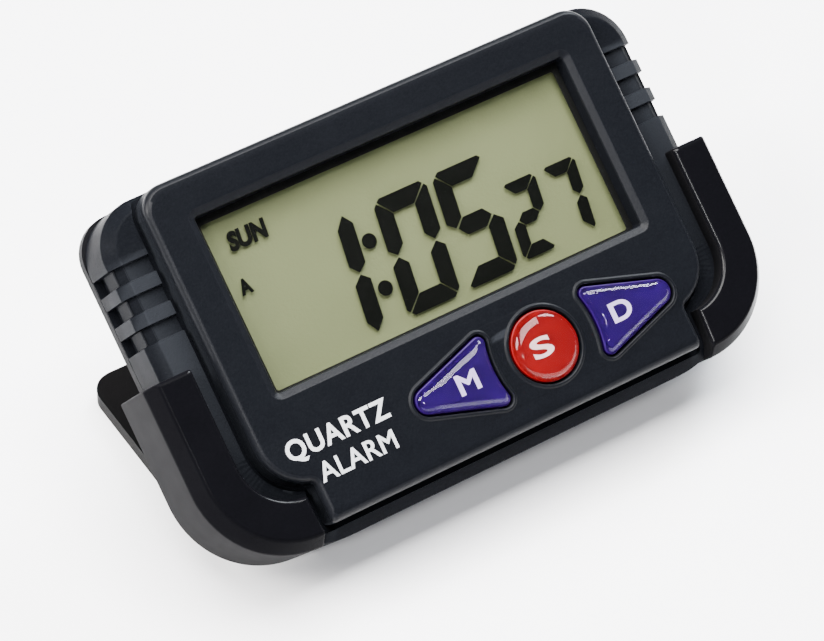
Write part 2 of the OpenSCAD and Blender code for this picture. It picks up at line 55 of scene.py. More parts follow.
# The hinge axis in the clock's own frame, and the tilt read from a key's axis.
HINGE_Y = -21.0
HINGE_Z = -11.9
press = JOINTS["set_key_press"]["axis"]
TILT = math.atan2(press[1], -press[2])
PLACE = (
    Matrix.Translation(JOINTS["case_tilt"]["pos_m"])
    @ Matrix.Rotation(TILT, 4, "X")
    @ Matrix.Scale(MM, 4)
    @ Matrix.Translation((0, -HINGE_Y, -HINGE_Z))
)

# Case
CASE_HALF_W = 36.15
CASE_HALF_H = 22.7
TOP_R = 6.0
LOW_R = 13.0
SHOULDER_Z = -2.8
BEVEL = 1.4
PARTING_Z = -11.0
GROOVE_YS = (15.0, 11.3, 7.55)
GROOVE_W = 2.0
GROOVE_DEPTH = 0.6
GROOVE_RUN = 0.07
GROOVE_REACH = 6.0
GROOVE_BACK_Z = -8.35
NOTCH_DEPTH = 1.1
NOTCH_FRONT_Z = -8.45
NOTCH_BACK_Z = -10.6
NOTCH_END_Z = -10.7

# How far the middle rings of the shoulders are drawn in. The channel cuts their inside away.
SHELL_CAP_INSET = 5.6
SHELL_FLAT_INSET = 5.2

# Panel and window
PANEL_HALF_W = 30.6
PANEL_LOW_HALF_W = 25.8
PANEL_LOW_Y = -20.6
PANEL_CORNER_R = 3.2
PANEL_LOW_CORNER_R = 0.6
# The panel's sides turn in at a shoulder and meet its lower, narrower part in a neck.
PANEL_SHOULDER_R = 6.0
PANEL_SHOULDER_Y = -9.4
PANEL_NECK_R = 0.8
CHANNEL_W = 0.7
CHANNEL_Z = -3.8
# The panel and its holes end this far below the channel's floor, inside the shell.
UNDER_Z = CHANNEL_Z - 0.1

# Rounded outer edge of the panel, as (inset, z). The insets are wider at its top and its
# lower edge.
PANEL_EDGE = ((0.0, UNDER_Z), (0.0, -1.05), (0.03, -0.78), (0.11, -0.5), (0.25, -0.26),
              (0.45, -0.1), (0.68, -0.02), (0.9, 0.0))
PANEL_TOP_SPREAD = 1.55
PANEL_LOW_SPREAD = 1.7
WINDOW_W = 52.0
WINDOW_H = 23.5
WINDOW_Y = 6.5
WINDOW_CORNER_R = 1.1
LENS_Z = -2.0
LENS_T = 0.5
LENS_MARGIN = 1.5
# Bevel and wall of the window, as (inset, z)
WINDOW_EDGE = ((-0.24, 0.0), (-0.12, -0.04), (0.62, -0.47), (0.72, -0.66),
               (0.8, LENS_Z), (0.8, UNDER_Z))

# Display
VIEW_W = 48.8
VIEW_H = 20.8
VIEW_Y = 6.15
BORDER_Z = LENS_Z - 0.55
BORDER_T = 0.1
BORDER_MARGIN = 1.2
DISPLAY_Z = -3.0
INK_T = 0.05
REFLECTOR_Z = DISPLAY_Z - 0.45
REFLECTOR_T = 0.4

# Keys
KEY_Y = -12.6
SET_X = 7.05
SET_R = 4.3
SIDE_LEGEND_X = 10.65
LEGEND_SHIFTS = {"set": -0.6, "display": 0.0, "mode": -0.3}
LEGEND_Z = 0.13
# Base of a key under its dome, as (growth, z)
KEY_BASE = ((0, -3.9), (0, -0.1), (-0.05, 0.03), (-0.18, 0.1))
# Raised rim in the panel round a key, as (growth, z)
KEY_RIM = ((0.84, 0.0), (0.76, 0.04), (0.68, 0.14), (0.58, 0.19), (0.46, 0.19),
           (0.34, 0.14), (0.26, 0.03), (0.25, -0.1), (0.25, UNDER_Z))
KEY_RISE = 1.3
DOME_GROWTH = -0.2
DOME_BACK_Z = 0.05
DOME_RIM_Z = 0.2
DOME_RIM_LEAN = math.radians(18)
DOME_POWER = 0.4
DOME_STEPS = 14

# A side key as circles (x, y, radius) joined by straight edges, counted from the round
# key's centre, and its scooped side next to the round key
SIDE_KEY_TIP = (16.25, 0.0, 1.6)
SIDE_KEY_LOW = (7.6, -3.45, 0.9)
SIDE_KEY_BASE_X = 6.7
SIDE_KEY_SCOOP = 0.5

# Edge rounding of the CAD pieces that are seen as they are
EDGE_ROUNDINGS = {"base_plate": 0.3, "rear_case": 0.12, "battery_door": 0.15,
                  "case_screws": 0.06}
ROUNDED_ABOVE = math.radians(40)

# Guards
GUARD_X = 39.0
GUARD_TOP_Y = 2.15
GUARD_LOW_Y = -22.4
GUARD_R = 11.5
GUARD_INNER_X = 33.35
GUARD_INNER_Y = -10.2
GUARD_INNER_R = 6.25
GUARD_END_X = 27.1
GUARD_CORNER_R = 0.3
GUARD_FRONT_Z = -0.3
GUARD_BACK_Z = -12.2
# Rings from the front: how far the outside and the other sides are drawn in, and the depth
# below the front
GUARD_FRONT_RINGS = ((1.7, 0.62, 0.0), (1.52, 0.4, 0.03), (1.38, 0.22, 0.12),
                     (1.24, 0.09, 0.27), (1.12, 0.02, 0.46), (1.0, 0.0, 0.7),
                     (0.14, 0.0, 2.2), (0.03, 0.0, 2.5), (0.0, 0.0, 2.9))
# Rings at the back: how far the outside is drawn in, and the height above the back
GUARD_BACK_RINGS = ((0.0, 0.3), (0.08, 0.08), (0.3, 0.0))

# Edges between faces that meet at more than this angle are drawn sharp.
SHARP_ABOVE = 32
DOME_SHARP_ABOVE = 60

# Faces whose normal's z lies between these values, so neither walls nor fronts, count as
# edges. A guard's inner edge is nearer the middle than GUARD_EDGE_X and above GUARD_EDGE_Y.
PANEL_EDGE_SLANT = (0.1, 0.97)
GUARD_EDGE_SLANT = (0.1, 0.98)
GUARD_EDGE_X = GUARD_INNER_X + 0.7
GUARD_EDGE_Y = GUARD_LOW_Y + 1.6
WALL_SLANT = 0.3

# Lettering
LETTER_T = 0.03
LEGEND_SIZE = (2.8, 2.45)


# ---- materials ---------------------------------------------------------------------

# Pointiness of the places where edge wear and a painted edge highlight start and where they
# are full, and how far the colour then goes towards the lighter edge colour
WEAR_AND_HIGHLIGHT_START = 0.53
WEAR_AND_HIGHLIGHT_FULL = 0.62
WEAR_AND_HIGHLIGHT_SHARE = 0.5
GRAIN_HEIGHT = 0.00006


def add_node(tree, kind, **inputs):
    node = tree.nodes.new(kind)
    for name, value in inputs.items():
        node.inputs[name].default_value = value
    return node


def mix_colors(tree, low, high, factor):
    mix = tree.nodes.new("ShaderNodeMix")
    mix.data_type = "RGBA"
    mix.inputs["A"].default_value = (*low, 1)
    mix.inputs["B"].default_value = (*high, 1)
    tree.links.new(factor, mix.inputs["Factor"])
    return mix.outputs["Result"]


def ramp(tree, value, low, high):
    """Maps value from 0..1 to low..high."""
    node = tree.nodes.new("ShaderNodeMapRange")
    node.inputs["To Min"].default_value = low
    node.inputs["To Max"].default_value = high
    tree.links.new(value, node.inputs["Value"])
    return node.outputs["Result"]


def noise(tree, scale, detail=3.0):
    coordinates = tree.nodes.new("ShaderNodeTexCoord")
    node = add_node(tree, "ShaderNodeTexNoise", Scale=scale, Detail=detail)
    tree.links.new(coordinates.outputs["Object"], node.inputs["Vector"])
    return node.outputs["Fac"]


def surface(name, dark, light, rough, grain=0.0, grain_scale=9000.0, blotch_scale=220.0,
            rough_spread=0.06, speckle=0.0, wear_and_highlight=None, **shader_values):
    """A moulded surface: blotchy and speckled colour, uneven roughness, a fine grain as
    bump, and sharp edges lightened towards the given edge colour, partly edge wear and
    partly a painted highlight."""
    material = bpy.data.materials.new(name)
    material.use_nodes = True
    tree = material.node_tree
    shader = tree.nodes["Principled BSDF"]
    for key, value in shader_values.items():
        shader.inputs[key.replace("_", " ")].default_value = value
    factor = noise(tree, blotch_scale)
    if speckle:
        blend = tree.nodes.new("ShaderNodeMix")
        blend.inputs["Factor"].default_value = speckle
        tree.links.new(factor, blend.inputs["A"])
        tree.links.new(noise(tree, grain_scale * 0.7, 2.0), blend.inputs["B"])
        factor = blend.outputs["Result"]
    color = mix_colors(tree, dark, light, factor)
    if wear_and_highlight is not None:
        # Painted highlight and edge wear: sharp edges, found by pointiness, are lightened towards the given
        # colour.
        geometry = tree.nodes.new("ShaderNodeNewGeometry")
        edge = tree.nodes.new("ShaderNodeMapRange")
        edge.inputs["From Min"].default_value = WEAR_AND_HIGHLIGHT_START
        edge.inputs["From Max"].default_value = WEAR_AND_HIGHLIGHT_FULL
        edge.inputs["To Max"].default_value = WEAR_AND_HIGHLIGHT_SHARE
        tree.links.new(geometry.outputs["Pointiness"], edge.inputs["Value"])
        worn_and_highlit = tree.nodes.new("ShaderNodeMix")
        worn_and_highlit.data_type = "RGBA"
        worn_and_highlit.inputs["B"].default_value = (*wear_and_highlight, 1)
        tree.links.new(edge.outputs["Result"], worn_and_highlit.inputs["Factor"])
        tree.links.new(color, worn_and_highlit.inputs["A"])
        color = worn_and_highlit.outputs["Result"]
    tree.links.new(color, shader.inputs["Base Color"])
    patches = noise(tree, blotch_scale * 2.3)
    tree.links.new(ramp(tree, patches, rough - rough_spread, rough + rough_spread),
                   shader.inputs["Roughness"])
    if grain:
        bump = add_node(tree, "ShaderNodeBump", Strength=grain, Distance=GRAIN_HEIGHT)
        tree.links.new(noise(tree, grain_scale, 4.0), bump.inputs["Height"])
        tree.links.new(bump.outputs["Normal"], shader.inputs["Normal"])
    return material


def clear(name, tint, ior, see_through, rough=0.05):
    """Clear plastic that lets light and shadows straight through, with a glossy face."""
    material = bpy.data.materials.new(name)
    material.use_nodes = True
    tree = material.node_tree
    shader = tree.nodes["Principled BSDF"]
    shader.inputs["Base Color"].default_value = (*tint, 1)
    shader.inputs["Alpha"].default_value = 1 - see_through
    shader.inputs["IOR"].default_value = ior
    tree.links.new(ramp(tree, noise(tree, 300.0), rough * 0.6, rough * 1.4),
                   shader.inputs["Roughness"])
    return material


def glass(name, color, ior, rough=0.02):
    """Tinted clear resin that bends the light."""
    material = bpy.data.materials.new(name)
    material.use_nodes = True
    tree = material.node_tree
    shader = tree.nodes["Principled BSDF"]
    shader.inputs["Base Color"].default_value = (*color, 1)
    shader.inputs["Transmission Weight"].default_value = 1.0
    shader.inputs["IOR"].default_value = ior
    tree.links.new(ramp(tree, noise(tree, 400.0), rough * 0.5, rough * 1.5),
                   shader.inputs["Roughness"])
    return material


MATERIALS = {
    # The edge colour given to some plastics below lightens their sharp edges: partly edge wear, partly a painted
    # highlight.
    "case_plastic": surface("case_plastic", (0.0014, 0.0016, 0.0022),
                            (0.0054, 0.0060, 0.0076), 0.36, grain=0.8, grain_scale=5200.0,
                            speckle=0.7, wear_and_highlight=(0.020, 0.022, 0.026), IOR=1.045),
    # A slightly lighter, glossier copy of the case plastic for its edge fillets and the window bevel; the lighter
    # colour is a painted highlight.
    "case_edge_highlight": surface("case_edge_highlight", (0.0020, 0.0022, 0.0030),
                         (0.0060, 0.0066, 0.0084), 0.34, grain=0.5, grain_scale=5200.0,
                         speckle=0.7, IOR=1.16),
    "rear_plastic": surface("rear_plastic", (0.0012, 0.0012, 0.0014),
                            (0.0032, 0.0032, 0.0038), 0.42, grain=0.6, grain_scale=5200.0,
                            speckle=0.6, wear_and_highlight=(0.006, 0.006, 0.007), IOR=1.06),
    "guard_plastic": surface("guard_plastic", (0.0013, 0.0013, 0.0017),
                             (0.0026, 0.0026, 0.0034), 0.15, grain=0.14,
                             grain_scale=4200.0, speckle=0.5, rough_spread=0.04,
                             wear_and_highlight=(0.016, 0.016, 0.020), IOR=1.045),
    "guard_wall": surface("guard_wall", (0.0013, 0.0013, 0.0017),
                          (0.0026, 0.0026, 0.0034), 0.8, grain=0.14,
                          grain_scale=4200.0, speckle=0.5, IOR=1.17),
    # A slightly lighter, glossier copy of the guard plastic for the guards' inner front edges; the lighter colour
    # is a painted highlight.
    "guard_edge_highlight": surface("guard_edge_highlight", (0.0016, 0.0016, 0.0021),
                          (0.0030, 0.0030, 0.0039), 0.22, grain=0.1,
                          grain_scale=4200.0, speckle=0.5, IOR=1.2),
    "base_plastic": surface("base_plastic", (0.0008, 0.0007, 0.0008),
                            (0.0018, 0.0016, 0.0018), 0.36, grain=0.4, speckle=0.5,
                            wear_and_highlight=(0.004, 0.004, 0.004), IOR=1.06),
    "clear_window": clear("clear_window", (0.002, 0.002, 0.002), ior=1.25,
                          see_through=0.97),
    "border_print": surface("border_print", (0.0012, 0.0013, 0.0012),
                            (0.0018, 0.0020, 0.0018), 0.5, grain=0.2,
                            Specular_IOR_Level=0.1),
    "display_ink": surface("display_ink", (0.0006, 0.0008, 0.0005),
                           (0.0012, 0.0015, 0.0010), 0.4, grain=0.1,
                           Specular_IOR_Level=0.05),
    "display_film": surface("display_film", (0.10, 0.11, 0.07), (0.13, 0.14, 0.09), 0.3),
    "reflector": surface("reflector", (0.064, 0.074, 0.031), (0.077, 0.088, 0.039), 0.6,
                         grain=0.5, grain_scale=2600.0, blotch_scale=90.0,
                         Specular_IOR_Level=0.2),
    "blue_base": surface("blue_base", (0.0065, 0.0002, 0.028), (0.0135, 0.0004, 0.060),
                         0.35, blotch_scale=160.0, Specular_IOR_Level=0.1),
    "red_base": surface("red_base", (0.085, 0.0005, 0.0012), (0.155, 0.0010, 0.0022), 0.35,
                        blotch_scale=160.0, Specular_IOR_Level=0.1),
    "blue_dome": glass("blue_dome", (0.75, 0.60, 0.97), ior=1.3),
    "red_dome": glass("red_dome", (0.98, 0.68, 0.66), ior=1.3),
    "key_print": surface("key_print", (0.75, 0.76, 0.80), (0.92, 0.93, 0.95), 0.5,
                         grain=0.2, blotch_scale=900.0),
    "white_print": surface("white_print", (0.36, 0.37, 0.39), (0.50, 0.51, 0.52), 0.5,
                           grain=0.3, blotch_scale=900.0),
    "silicone": surface("silicone", (0.24, 0.24, 0.22), (0.3, 0.3, 0.28), 0.6, grain=0.2),
    "contact_rubber": surface("contact_rubber", (0.02, 0.02, 0.022), (0.08, 0.04, 0.05),
                              0.7, grain=0.3, blotch_scale=2600.0),
    "board": surface("board", (0.006, 0.04, 0.013), (0.01, 0.06, 0.02), 0.35, grain=0.2),
    "epoxy": surface("epoxy", (0.002, 0.002, 0.002), (0.004, 0.004, 0.004), 0.2,
                     grain=0.1),
    "ceramic_parts": surface("ceramic_parts", (0.13, 0.09, 0.06), (0.18, 0.13, 0.08), 0.5,
                             grain=0.2),
    "steel": surface("steel", (0.3, 0.3, 0.31), (0.42, 0.42, 0.43), 0.3, grain=0.15,
                     Metallic=1.0),
    "buzzer_brass": surface("buzzer_brass", (0.38, 0.25, 0.08), (0.46, 0.32, 0.11), 0.35,
                            grain=0.15, Metallic=1.0),
}
# Slots of CAD nodes whose material has another name
SLOT_MATERIALS = {"display_glass": "display_film", "blue_key": "blue_base",
                  "red_key": "red_base"}


# ---- outlines ----------------------------------------------------------------------

def arc(x, y, radius, start, end, steps):
    """Points on a circle from one angle to another, in degrees."""
    points = []
    for i in range(steps + 1):
        angle = math.radians(start + (end - start) * i / steps)
        points.append((x + radius * math.cos(angle), y + radius * math.sin(angle)))
    return points


def mirrored(points):
    """The same outline on the left, in the order that closes a loop going round."""
    return [(-x, y) for x, y in reversed(points)]


def case_loop(inset, groove=0.0):
    """The case from the front, with the grip grooves cut groove deep in its sides."""
    half_w, half_h = CASE_HALF_W - inset, CASE_HALF_H - inset
    side = []
    for y in reversed(GROOVE_YS):
        low, high = y - GROOVE_W / 2, y + GROOVE_W / 2
        side += [(half_w, low - GROOVE_RUN), (half_w - groove, low + GROOVE_RUN),
                 (half_w - groove, high - GROOVE_RUN), (half_w, high + GROOVE_RUN)]
    low_r, top_r = LOW_R - inset, TOP_R - inset
    right = (arc(half_w - low_r, low_r - half_h, low_r, -90, 0, 26) + side
             + arc(half_w - top_r, half_h - top_r, top_r, 0, 90, 18))
    return right + mirrored(right)


def panel_loop(side, top=None, low=None):
    """The raised panel, drawn in at its sides, top and lower edge."""
    top = side if top is None else top
    low = side if low is None else low
    half, low_half = PANEL_HALF_W - side, PANEL_LOW_HALF_W - side
    top_y, low_y = CASE_HALF_H - top, PANEL_LOW_Y + low
    corner_r, low_r = max(PANEL_CORNER_R - side, 0.5), PANEL_LOW_CORNER_R
    shoulder_x, shoulder_y = PANEL_HALF_W - PANEL_SHOULDER_R, PANEL_SHOULDER_Y
    neck_x = PANEL_LOW_HALF_W + PANEL_NECK_R
    reach = PANEL_SHOULDER_R + PANEL_NECK_R
    neck_y = shoulder_y - math.sqrt(reach ** 2 - (neck_x - shoulder_x) ** 2)
    meet = math.degrees(math.atan2(shoulder_y - neck_y, shoulder_x - neck_x))
    right = (arc(low_half - low_r, low_y + low_r, low_r, -90, 0, 6)
             + arc(neck_x, neck_y, PANEL_NECK_R + side, 180, meet, 8)
             + arc(shoulder_x, shoulder_y, PANEL_SHOULDER_R - side, meet - 180, 0, 18)
             + arc(half - corner_r, top_y - corner_r, corner_r, 0, 90, 14))
    return right + mirrored(right)


def rect_loop(x, y, width, height, radius):
    w, h = width / 2 - radius, height / 2 - radius
    return (arc(x + w, y - h, radius, -90, 0, 6) + arc(x + w, y + h, radius, 0, 90, 6)
            + arc(x - w, y + h, radius, 90, 180, 6) + arc(x - w, y - h, radius, 180, 270, 6))


def circle_loop(x, y, radius, steps=64):
    return arc(x, y, radius, 0, 360, steps)[:-1]


def guard_loop(outer, edge):
    """The right corner guard, drawn in by outer on its outside and edge elsewhere."""
    x_out, top = GUARD_X - outer, GUARD_TOP_Y - edge
    x_in, end = GUARD_INNER_X + edge, GUARD_END_X + edge
    low = GUARD_LOW_Y + outer
    corner = GUARD_CORNER_R
    inner_r = GUARD_INNER_R + edge
    inner_x = GUARD_INNER_X - GUARD_INNER_R
    stop = -math.degrees(math.acos((end - inner_x) / inner_r)) + 2
    return (arc(end + corner, low + corner, corner, 180, 270, 4)
            + arc(GUARD_X - GUARD_R, GUARD_LOW_Y + GUARD_R, GUARD_R - outer, -90, 0, 30)
            + arc(x_out - corner, top - corner, corner, 0, 90, 4)
            + arc(x_in + corner, top - corner, corner, 90, 180, 4)
            + arc(inner_x, GUARD_INNER_Y, inner_r, 0, stop, 20))


def edge_normal(a, b):
    """Direction, in degrees, of the outward normal of the edge that touches circles a
    and b, each (x, y, radius), when going round them anticlockwise."""
    dx, dy = b[0] - a[0], b[1] - a[1]
    turn = math.acos((a[2] - b[2]) / math.hypot(dx, dy))
    return math.degrees(math.atan2(dy, dx) - turn)


def side_key_loop(growth):
    """A side key with its tip on the right, counted from the round key's centre."""
    tip = (*SIDE_KEY_TIP[:2], SIDE_KEY_TIP[2] + growth)
    low_x, low_y, low_r = (*SIDE_KEY_LOW[:2], SIDE_KEY_LOW[2] + growth)
    slope = edge_normal((low_x, low_y, low_r), tip)
    base = []
    for i in range(1, 12):
        t = 1 - i / 6
        base.append((SIDE_KEY_BASE_X - growth + SIDE_KEY_SCOOP * (1 - t * t), -low_y * t))
    return (arc(*tip, slope, -slope, 16) + arc(low_x, -low_y, low_r, -slope, 180, 10)
            + base + arc(low_x, low_y, low_r, 180, 360 + slope, 10))


# ---- mesh pieces -------------------------------------------------------------------

class Shape:
    """Collects rings of points in the clock's frame and joins them into one mesh."""

    def __init__(self):
        self.points = []
        self.faces = []

    def ring(self, outline, z):
        start = len(self.points)
        self.points += [(x, y, z) for x, y in outline]
        return list(range(start, len(self.points)))

    def bridge(self, a, b):
        """Joins two rings of the same length."""
        for i in range(len(a)):
            j = (i + 1) % len(a)
            self.faces.append((a[i], a[j], b[j], b[i]))

    def loft(self, levels):
        """Joins (outline, z) levels in order. Returns the first and last ring."""
        rings = [self.ring(outline, z) for outline, z in levels]
        for a, b in zip(rings, rings[1:]):
            self.bridge(a, b)
        return rings[0], rings[-1]

    def cap(self, outer, *holes):
        """Closes a ring with a flat face, leaving the holes open."""
        loops = [outer, *holes]
        order = [index for loop in loops for index in loop]
        flat = [[Vector(self.points[i][:2]).to_3d() for i in loop] for loop in loops]
        for triangle in tessellate_polygon(flat):
            self.faces.append(tuple(order[i] for i in triangle))

    def point_cap(self, ring, point):
        """Closes a ring with triangles that meet at a point."""
        self.points.append(point)
        tip = len(self.points) - 1
        for i in range(len(ring)):
            self.faces.append((ring[i], ring[(i + 1) % len(ring)], tip))

    def solid(self, levels):
        """Joins (outline, z) levels and closes both ends."""
        first, last = self.loft(levels)
        self.cap(first)
        self.cap(last)


def weight_normals(piece, angle=SHARP_ABOVE):
    """Smooth shading that leaves flat faces flat and the edges above an angle sharp."""
    piece.data.set_sharp_from_angle(angle=math.radians(angle))
    modifier = piece.modifiers.new("weighted", "WEIGHTED_NORMAL")
    modifier.keep_sharp = True


def finish_mesh(name, mesh, material, body, smooth=SHARP_ABOVE):
    """Makes a piece that moves with a body. With smooth 0 its faces stay flat."""
    mesh.materials.append(MATERIALS[material])
    for polygon in mesh.polygons:
        polygon.use_smooth = smooth > 0
    piece = bpy.data.objects.new(name, mesh)
    bpy.context.scene.collection.objects.link(piece)
    if smooth:
        weight_normals(piece, smooth)
    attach(piece, body)
    return piece


def make_piece(name, shape, material, body="clock", replaces=(), mirror=False,
               smooth=SHARP_ABOVE):
    """Makes a piece out of a shape, with the CAD nodes that it replaces."""
    mesh = bpy.data.meshes.new(name)
    side = -1 if mirror else 1
    points = [PLACE @ Vector((side * x, y, z)) for x, y, z in shape.points]
    mesh.from_pydata(points, [], shape.faces)
    bm = bmesh.new()
    bm.from_mesh(mesh)
    bmesh.ops.remove_doubles(bm, verts=bm.verts, dist=0.002 * MM)
    bmesh.ops.recalc_face_normals(bm, faces=bm.faces)
    bm.to_mesh(mesh)
    bm.free()
    piece = finish_mesh(name, mesh, material, body, smooth)
    if replaces:
        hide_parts(*replaces)
    return piece


def coat(piece, material, test):
    """Gives another material to the faces that test picks by their place and normal in the
    clock's frame."""
    piece.data.materials.append(MATERIALS[material])
    to_clock = PLACE.inverted()
    for polygon in piece.data.polygons:
        normal = (to_clock.to_3x3() @ polygon.normal).normalized()
        if test(to_clock @ polygon.center, normal):
            polygon.material_index = len(piece.data.materials) - 1


def flatten_front(piece):
    """Shades the faces that look straight out of the face flat."""
    to_clock = PLACE.inverted().to_3x3()
    for polygon in piece.data.polygons:
        if (to_clock @ polygon.normal).normalized().z > 0.999:
            polygon.use_smooth = False


def cut(piece, tool_shape):
    """Takes tool_shape away from a piece for good."""
    mesh = bpy.data.meshes.new("tool")
    points = [PLACE @ Vector(point) for point in tool_shape.points]
    mesh.from_pydata(points, [], tool_shape.faces)
    bm = bmesh.new()
    bm.from_mesh(mesh)
    bmesh.ops.recalc_face_normals(bm, faces=bm.faces)
    bm.to_mesh(mesh)
    bm.free()
    tool = bpy.data.objects.new("tool", mesh)
    bpy.context.scene.collection.objects.link(tool)
    piece.modifiers.clear()
    modifier = piece.modifiers.new("cut", "BOOLEAN")
    modifier.operation = "DIFFERENCE"
    modifier.solver = "EXACT"
    modifier.object = tool
    depsgraph = bpy.context.evaluated_depsgraph_get()
    result = bpy.data.meshes.new_from_object(piece.evaluated_get(depsgraph))
    piece.modifiers.clear()
    piece.data = result
    bpy.data.objects.remove(tool)
    weight_normals(piece)


def text_piece(name, words, x, y, width, height, z, material, bold, body="clock",
               lean=0.0, spacing=1.0):
    """Flat lettering in Blender's own plain font, fitted to a box centred on x, y."""
    curve = bpy.data.curves.new(name, "FONT")
    curve.body = words
    curve.size = 1.0
    curve.shear = lean
    curve.space_character = spacing
    curve.bevel_depth = bold
    curve.bevel_resolution = 1
    curve.extrude = 0.5
    curve.resolution_u = 6
    text = bpy.data.objects.new(name, curve)
    bpy.context.scene.collection.objects.link(text)
    depsgraph = bpy.context.evaluated_depsgraph_get()
    mesh = bpy.data.meshes.new_from_object(text.evaluated_get(depsgraph))
    bpy.data.objects.remove(text)
    xs = [v.co.x for v in mesh.vertices]
    ys = [v.co.y for v in mesh.vertices]
    left, right, low, high = min(xs), max(xs), min(ys), max(ys)
    fit = (Matrix.Translation((x, y, z + LETTER_T / 2))
           @ Matrix.Diagonal((width / (right - left), height / (high - low), LETTER_T, 1))
           @ Matrix.Translation((-(right + left) / 2, -(high + low) / 2, 0)))
    mesh.transform(PLACE @ fit)
    finish_mesh(name, mesh, material, body, smooth=0)


# ---- case --------------------------------------------------------------------------

def case_shell():
    """Shoulders, side walls and grip grooves, behind the raised panel."""
    shape = Shape()
    deep = GROOVE_DEPTH
    slant = deep * math.sqrt(0.5)
    # From the flat shoulder over the bevel and its small roundings to the parting line
    levels = [(case_loop(SHELL_CAP_INSET), SHOULDER_Z),
              (case_loop(SHELL_FLAT_INSET), SHOULDER_Z),
              (case_loop(BEVEL + 0.2), SHOULDER_Z),
              (case_loop(BEVEL + 0.02, slant / 2), SHOULDER_Z - 0.03),
              (case_loop(BEVEL - 0.1, slant), SHOULDER_Z - 0.12),
              (case_loop(0.12, slant), SHOULDER_Z - BEVEL + 0.12),
              (case_loop(0.03, deep), SHOULDER_Z - BEVEL - 0.02),
              (case_loop(0, deep), SHOULDER_Z - BEVEL - 0.2),
              (case_loop(0, deep), GROOVE_BACK_Z),
              (case_loop(0, NOTCH_DEPTH), NOTCH_FRONT_Z),
              (case_loop(0, NOTCH_DEPTH), NOTCH_BACK_Z), (case_loop(0), NOTCH_END_Z),
              (case_loop(0), PARTING_Z + 0.2), (case_loop(0.06), PARTING_Z + 0.06),
              (case_loop(0.2), PARTING_Z)]
    # How far the front rings, by number, drop where they cross a groove
    drops = {1: deep, 2: deep, 3: deep, 4: slant, 5: slant}
    rings = []
    for number, (outline, z) in enumerate(levels):
        ring = shape.ring(outline, z)
        lowered = drops.get(number, 0.0)
        for index in ring:
            x, y, _ = shape.points[index]
            in_groove = any(abs(y - middle) < GROOVE_W / 2 for middle in GROOVE_YS)
            if lowered and in_groove and abs(x) > CASE_HALF_W - GROOVE_REACH:
                shape.points[index] = (x, y, z - lowered)
        rings.append(ring)
    for a, b in zip(rings, rings[1:]):
        shape.bridge(a, b)
    shape.cap(rings[0])
    shape.cap(rings[-1])
    piece = make_piece("case_shell", shape, "case_plastic")
    channel = Shape()
    channel.solid([(panel_loop(-CHANNEL_W), CHANNEL_Z), (panel_loop(-CHANNEL_W), 1.0)])
    cut(piece, channel)
    flatten_front(piece)


def case_panel():
    """The raised front panel with its window and the rims round the keys."""
    shape = Shape()
    outer_back, outer_front = shape.loft(
        [(panel_loop(inset, inset * PANEL_TOP_SPREAD, inset * PANEL_LOW_SPREAD), z)
         for inset, z in PANEL_EDGE])
    window_front, window_back = shape.loft(
        [(rect_loop(0, WINDOW_Y, WINDOW_W - 2 * inset, WINDOW_H - 2 * inset,
                    max(WINDOW_CORNER_R - inset, 0.3)), z) for inset, z in WINDOW_EDGE])
    fronts, backs = [window_front], [window_back]
    for kind in ("set", "display", "mode"):
        front, back = shape.loft([(key_outline(kind, growth), z) for growth, z in KEY_RIM])
        fronts.append(front)
        backs.append(back)
    shape.cap(outer_front, *fronts)
    shape.cap(outer_back, *backs)
    piece = make_piece("case_panel", shape, "case_plastic", replaces=("front_case",))
    low, high = PANEL_EDGE_SLANT
    # The slanted edge faces get the lighter edge copy of the plastic: a painted highlight.
    coat(piece, "case_edge_highlight", lambda place, normal: low < normal.z < high)


def key_outline(kind, growth):
    """The outline of a key in its place on the panel, with the mode key mirrored."""
    if kind == "set":
        return circle_loop(SET_X, KEY_Y, SET_R + growth)
    side = 1 if kind == "display" else -1
    loop = [(SET_X + side * x, KEY_Y + y) for x, y in side_key_loop(growth)]
    return loop if side == 1 else loop[::-1]


def guard(name, mirror):
    """A corner guard with a shinier inner front edge, also painted a little lighter as a highlight, and rougher
    walls.
    """
    shape = Shape()
    shape.solid([(guard_loop(outer, edge), GUARD_FRONT_Z - depth)
                 for outer, edge, depth in GUARD_FRONT_RINGS]
                + [(guard_loop(outer, 0.0), GUARD_BACK_Z + height)
                   for outer, height in GUARD_BACK_RINGS])
    piece = make_piece(name, shape, "guard_plastic", replaces=(name,), mirror=mirror)

    def inner_edge(place, normal):
        low, high = GUARD_EDGE_SLANT
        inside = abs(place.x) < GUARD_EDGE_X and place.y > GUARD_EDGE_Y
        return inside and normal.y > -0.1 and low < normal.z < high

    # The inner front edge gets the lighter edge copy of the plastic: a painted highlight.
    coat(piece, "guard_edge_highlight", inner_edge)
    coat(piece, "guard_wall", lambda place, normal: abs(normal.z) < WALL_SLANT)


# ---- keys --------------------------------------------------------------------------

